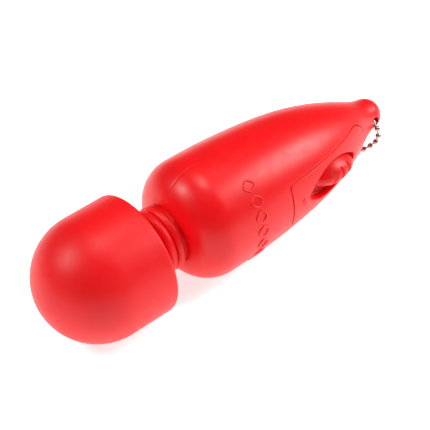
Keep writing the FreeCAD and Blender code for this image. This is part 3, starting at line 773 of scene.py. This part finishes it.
def knob_height(u, w, share):
    """Height of the thumb slider's pillow; share is 0 in its middle and 1 at its outline."""
    along, across = u - KNOB_OFFSET, 2.2 * w
    endwise = along ** 2 / max(along ** 2 + across ** 2, 1e-9)
    # the pillow is full and blunt towards the tail, and slopes more gently towards the head
    fullness, bluntness = (2.6, 0.0) if along > 0 else (0.2, 0.35)
    pillow = (1 - share ** (2.2 + fullness * endwise)) ** (0.85 + bluntness * endwise)
    height = KNOB_SHOULDER + (KNOB_CROWN - KNOB_SHOULDER) * pillow
    for number in range(GROOVE_COUNT):
        place = KNOB_OFFSET - GROOVE_SHIFT + (number - (GROOVE_COUNT - 1) / 2) * GROOVE_PITCH
        height -= groove_depth(u - place, w - GROOVE_RISE)
    return height


def groove_depth(along, across):
    """Depth of one leaf-shaped thumb groove, steeper on its side towards the tail."""
    endwise = abs(across) / GROOVE_HALF_LENGTH
    if endwise >= 1:
        return 0.0
    taper = 1 - endwise ** 2
    share = (along / max(GROOVE_HALF_WIDTH * taper ** 0.7, 1e-6) + 1) / 2
    if not 0 < share < 1:
        return 0.0
    return GROOVE_DEPTH * math.sin(math.pi * share ** 1.2) ** 1.6 * math.sqrt(taper)


def make_knob():
    """The thumb slider: a pillow with three grooves, on a stem that goes down through the slot."""
    rings, round_shares = 48, linspace(0.0, 1.0, 200)[:-1]
    outline = by_shares(oval_line(*KNOB, offset=KNOB_OFFSET), round_shares)
    rows = []
    for share in [math.sin(turn) for turn in linspace(0.0, math.pi / 2, rings)]:
        places = [(KNOB_OFFSET + (u - KNOB_OFFSET) * share, w * share) for u, w in outline]
        rows.append([on_slide(u, w, knob_height(u, w, share)) for u, w in places])
    rows.append([on_slide(u, w, KNOB_BASE + KNOB_FOOT) for u, w in outline])
    sole = oval_line(*(size - KNOB_FOOT for size in KNOB), offset=KNOB_OFFSET)
    rows.append([on_slide(u, w, KNOB_BASE) for u, w in by_shares(sole, round_shares)])
    stem = by_shares(oval_line(*STEM, offset=STEM_PLACE), round_shares)
    for n, size in ((KNOB_BASE, 1.0), (STEM_END, 1.0), (STEM_END, 0.0)):
        rows.append([on_slide(STEM_PLACE + (u - STEM_PLACE) * size, w * size, n)
                     for u, w in stem])
    bm = bmesh.new()
    grid(bm, rows, closed=True)
    knob = finish_piece(bm, "thumb_knob", MATERIALS["red_plastic"], crease=50)
    return declare(knob, "slider", "red_plastic", "thumb_slider")


def raised_line(bm, path, at, width, height):
    """A low rounded ridge along a closed path of (a, b); at(a, b, depth) puts it on a surface."""
    section = [(-0.62, -0.6), (-0.5, 0.4), (-0.3, 0.9), (0.0, 1.0), (0.3, 0.9), (0.5, 0.4),
               (0.62, -0.6)]
    rows = []
    for index, (a, b) in enumerate(path):
        before, after = path[index - 1], path[(index + 1) % len(path)]
        run = Vector((after[0] - before[0], after[1] - before[1])).normalized()
        rows.append([at(a - run.y * share * width, b + run.x * share * width, -rise * height)
                     for share, rise in section])
    grid(bm, rows + rows[:1], closed=True)


def rounded_lozenge(half_length, half_width, power, count):
    """A closed superellipse: power 2 is an ellipse, and a lower power is more pointed."""
    points = []
    for index in range(count):
        turn = math.tau * index / count
        a, b = math.cos(turn), math.sin(turn)
        points.append((half_length * math.copysign(abs(a) ** (2 / power), a),
                       half_width * math.copysign(abs(b) ** (2 / power), b)))
    return points


def make_marks():
    """Plain raised lozenges round the shoulder, and a small raised ring by the recess."""
    place, pitch, count, ring_place = 49.9, 15.3, 7, -11.3
    bm = bmesh.new()
    for number in range(count):
        turn = math.radians(pitch * (number - (count - 1) / 2))

        def on_band(a, b, depth):
            return skin(place + a, turn + b / radius_at(place), depth)

        raised_line(bm, rounded_lozenge(1.45, 1.3, 1.5, 72), on_band, 0.5, 0.2)
    band = finish_piece(bm, "shoulder_marks", MATERIALS["red_plastic"], crease=60)
    declare(band, "root", "red_plastic")

    bm = bmesh.new()

    def on_door(a, b, depth):
        return lift_to_skin(ring_place + a, b, depth - DOOR_PROUD)

    raised_line(bm, rounded_lozenge(0.55, 0.75, 2.0, 40), on_door, 0.22, 0.12)
    mark = finish_piece(bm, "door_mark", MATERIALS["red_plastic"], crease=60)
    declare(mark, "door", "red_plastic")


# ---------------------------------------------------------------- ball chain

# The chain's route, in the frame's metres: out of the lug's hole on the slider's side, down and
# under the tail, round a loop that lies behind the body, and up into the hole's other mouth.
CHAIN_ROUTE = [
    (0.0458, -0.00005, 0.0145), (0.0455, -0.0053, 0.0147), (0.0453, -0.0056, 0.0099),
    (0.0435, -0.0029, 0.0071), (0.0419, -0.0003, 0.0046), (0.0404, 0.0022, 0.0022),
    (0.0376, 0.0060, 0.00075),
    (0.0335, 0.0094, 0.00075), (0.0265, 0.0112, 0.00075), (0.0180, 0.0096, 0.00075),
    (0.0096, 0.0099, 0.00075), (0.0054, 0.0136, 0.00075), (0.0053, 0.0188, 0.00075),
    (0.0092, 0.0224, 0.00075), (0.0160, 0.0225, 0.00095), (0.0220, 0.0214, 0.0012),
    (0.0310, 0.0192, 0.0012), (0.0376, 0.0173, 0.00075), (0.0426, 0.0142, 0.00075),
    (0.0456, 0.0096, 0.0024), (0.0459, 0.0066, 0.0076), (0.0458, 0.0051, 0.0141),
    (0.0458, 0.00005, 0.0145)]
COUPLING_RUN = 15
BEAD = 1.5
BEAD_HOLE = 0.24
BEAD_PITCH = 1.95
FIRST_BEAD = 1.4
LINK_RADIUS = 0.26
LINK_SUNK = 0.5


def route_points():
    """Points of the smooth curve that the route controls, in the frame's metres."""
    data = bpy.data.curves.new("chain_route", "CURVE")
    data.dimensions = "3D"
    data.resolution_u = 16
    spline = data.splines.new("NURBS")
    spline.points.add(len(CHAIN_ROUTE) - 1)
    for point, place in zip(spline.points, CHAIN_ROUTE):
        point.co = (*place, 1)
    spline.order_u = 3
    spline.use_endpoint_u = True
    carrier = bpy.data.objects.new("chain_route", data)
    mesh = bpy.data.meshes.new_from_object(carrier)
    points = [tuple(vertex.co) for vertex in mesh.vertices]
    bpy.data.meshes.remove(mesh)
    bpy.data.objects.remove(carrier)
    bpy.data.curves.remove(data)
    return points


def tube_rows(centre, direction, outline, count):
    """Rings about a direction: outline holds (distance along it, radius), in millimetres."""
    direction = direction.normalized()
    across = direction.orthogonal().normalized()
    upright = direction.cross(across)
    rows = []
    for along, radius in outline:
        middle = centre + direction * along * MM
        rows.append([middle + (across * math.cos(turn) + upright * math.sin(turn)) * radius * MM
                     for turn in linspace(0, math.tau, count)[:-1]])
    return rows


def frame_grid(bm, rows):
    """Closed rings of quads between rows that are already in the frame's metres."""
    grid(bm, rows, closed=True, place=Vector)


def bead_outline():
    """Half a bead's outline, as (along, radius): a ball with a turned-in hole at each end."""
    radius = BEAD / 2
    sunk = radius * 0.80
    start = math.asin(BEAD_HOLE * 1.25 / radius)
    ball = [(-radius * math.cos(turn), radius * math.sin(turn))
            for turn in linspace(start, math.pi - start, 14)]
    return [(-sunk, 0.0), (-sunk, BEAD_HOLE)] + ball + [(sunk, BEAD_HOLE), (sunk, 0.0)]


def make_chain():
    """Beads and the short links between them, along the chain's route, and the coupling."""
    points = route_points()
    lengths = running_lengths(points)
    strung = lengths[-1] / MM - 2 * FIRST_BEAD
    count = round(strung / BEAD_PITCH) + 1
    centres = [Vector(at_length(points, lengths, (FIRST_BEAD + distance) * MM))
               for distance in linspace(0.0, strung, count - 1)]
    bm = bmesh.new()
    outline = bead_outline()
    for index, centre in enumerate(centres):
        before, after = centres[max(index - 1, 0)], centres[min(index + 1, count - 1)]
        frame_grid(bm, tube_rows(centre, after - before, outline, 20))
        if index < count - 1:
            run = centres[index + 1] - centre
            half = run.length / MM / 2 - LINK_SUNK
            link = [(-half, 0.0), (-half, LINK_RADIUS), (half, LINK_RADIUS), (half, 0.0)]
            frame_grid(bm, tube_rows(centre.lerp(centres[index + 1], 0.5), run, link, 10))
    chain = finish_piece(bm, "bead_chain", MATERIALS["nickel_chain"], crease=45)
    declare(chain, "root", "nickel_chain", "ball_chain")

    near, far = (Vector(CHAIN_ROUTE[index]) for index in (COUPLING_RUN, COUPLING_RUN + 1))
    coupling = make_coupling(near.lerp(far, 0.5), far - near)


def make_coupling(centre, direction):
    """A rolled sheet connector, open along one side, with pinched-in ends."""
    half, outer, sheet, gap = 3.45, 1.2, 0.22, math.radians(24)
    direction = direction.normalized()
    side = direction.cross(Vector((0, 0, 1))).normalized()
    upright = side.cross(direction)
    outline = [(-half, outer - 0.35), (-half + 0.25, outer - 0.1), (-half + 0.6, outer)]
    outline += [(along, outer) for along in linspace(-half + 1.0, half - 1.0, 8)]
    outline += [(half - 0.6, outer), (half - 0.25, outer - 0.1), (half, outer - 0.35)]
    bm = bmesh.new()
    turns = linspace(gap, math.tau - gap, 40)
    loops = []
    for along, radius in outline:
        middle = centre + direction * along * MM
        ring = [middle + (upright * math.cos(turn) + side * math.sin(turn)) * size * MM
                for size, way in ((radius, turns), (radius - sheet, turns[::-1])) for turn in way]
        loops.append(ring)
    frame_grid(bm, loops)
    fill_border(bm)
    coupling = finish_piece(bm, "coupling_sleeve", MATERIALS["nickel_chain"])
    return declare(coupling, "root", "nickel_chain", "chain_coupling")


# ---------------------------------------------------------------- camera, floor and light

CAMERA_AZIMUTH = math.radians(-38.339)
CAMERA_ELEVATION = math.radians(40.375)
CAMERA_ROLL = math.radians(-4.306)
CAMERA_DISTANCE = 0.3127
CAMERA_AIM = (45.438, -3.008, 0.516)
LENS = 117.14
LAMP_AIM = (0, 0, 0.01)


def look(location, target, thing):
    """Put a camera or a lamp at a location and turn it to a target."""
    direction = Vector(target) - Vector(location)
    thing.location = location
    thing.rotation_euler = direction.to_track_quat("-Z", "Y").to_euler()


def make_camera():
    """The photograph's viewing angle, on the middle of the wand."""
    aim = to_frame(CAMERA_AIM)
    level = math.cos(CAMERA_ELEVATION)
    backwards = Vector((math.sin(CAMERA_AZIMUTH) * level, -math.cos(CAMERA_AZIMUTH) * level,
                        math.sin(CAMERA_ELEVATION)))
    data = bpy.data.cameras.new("camera")
    data.lens = LENS
    data.sensor_width = 36.0
    camera = bpy.data.objects.new("camera", data)
    bpy.context.scene.collection.objects.link(camera)
    look(aim + backwards * CAMERA_DISTANCE, aim, camera)
    roll = Quaternion((0.0, 0.0, 1.0), CAMERA_ROLL)
    camera.rotation_euler = (camera.rotation_euler.to_quaternion() @ roll).to_euler()
    bpy.context.scene.camera = camera


def make_floor():
    """White paper under the wand, lit from behind a little so that it stays white."""
    material, _, _, bsdf = new_material("paper_white")
    bsdf.inputs["Base Color"].default_value = (0.93, 0.93, 0.93, 1)
    bsdf.inputs["Roughness"].default_value = 0.8
    bsdf.inputs["Emission Color"].default_value = (1, 1, 1, 1)
    bsdf.inputs["Emission Strength"].default_value = 0.7
    bm = bmesh.new()
    bmesh.ops.create_grid(bm, x_segments=8, y_segments=8, size=1.5)
    mesh = bpy.data.meshes.new("floor")
    bm.to_mesh(mesh)
    bm.free()
    floor = bpy.data.objects.new("floor", mesh)
    mesh.materials.append(material)
    bpy.context.scene.collection.objects.link(floor)


def area_light(name, location, size, power):
    """A white rectangular lamp, aimed at the wand's middle."""
    data = bpy.data.lights.new(name, "AREA")
    data.shape = "RECTANGLE"
    data.size, data.size_y = size
    data.energy = power
    light = bpy.data.objects.new(name, data)
    bpy.context.scene.collection.objects.link(light)
    look(location, LAMP_AIM, light)


def make_light():
    """A faint white surround and three soft lamps: on the right, behind and overhead."""
    world = bpy.data.worlds.new("studio")
    world.use_nodes = True
    surround = world.node_tree.nodes["Background"]
    surround.inputs["Color"].default_value = (1, 1, 1, 1)
    surround.inputs["Strength"].default_value = 0.10
    bpy.context.scene.world = world
    bpy.context.scene.view_settings.view_transform = "Standard"
    area_light("key", (0.446, -0.236, 0.353), (0.22, 0.30), 2.9)
    area_light("rear", (-0.36, 0.20, 0.45), (0.22, 0.22), 2.0)
    area_light("top", (0.10, 0.02, 0.62), (0.16, 0.12), 1.3)


make_camera()
dress_cad_nodes()
make_head()
make_sleeve()
make_shell("shell_with_door_opening", 1, "body_shell_right", True)
make_shell("shell_far_side", -1, "body_shell_left", False)
make_door()
make_knob()
make_marks()
make_chain()
make_floor()
make_light()
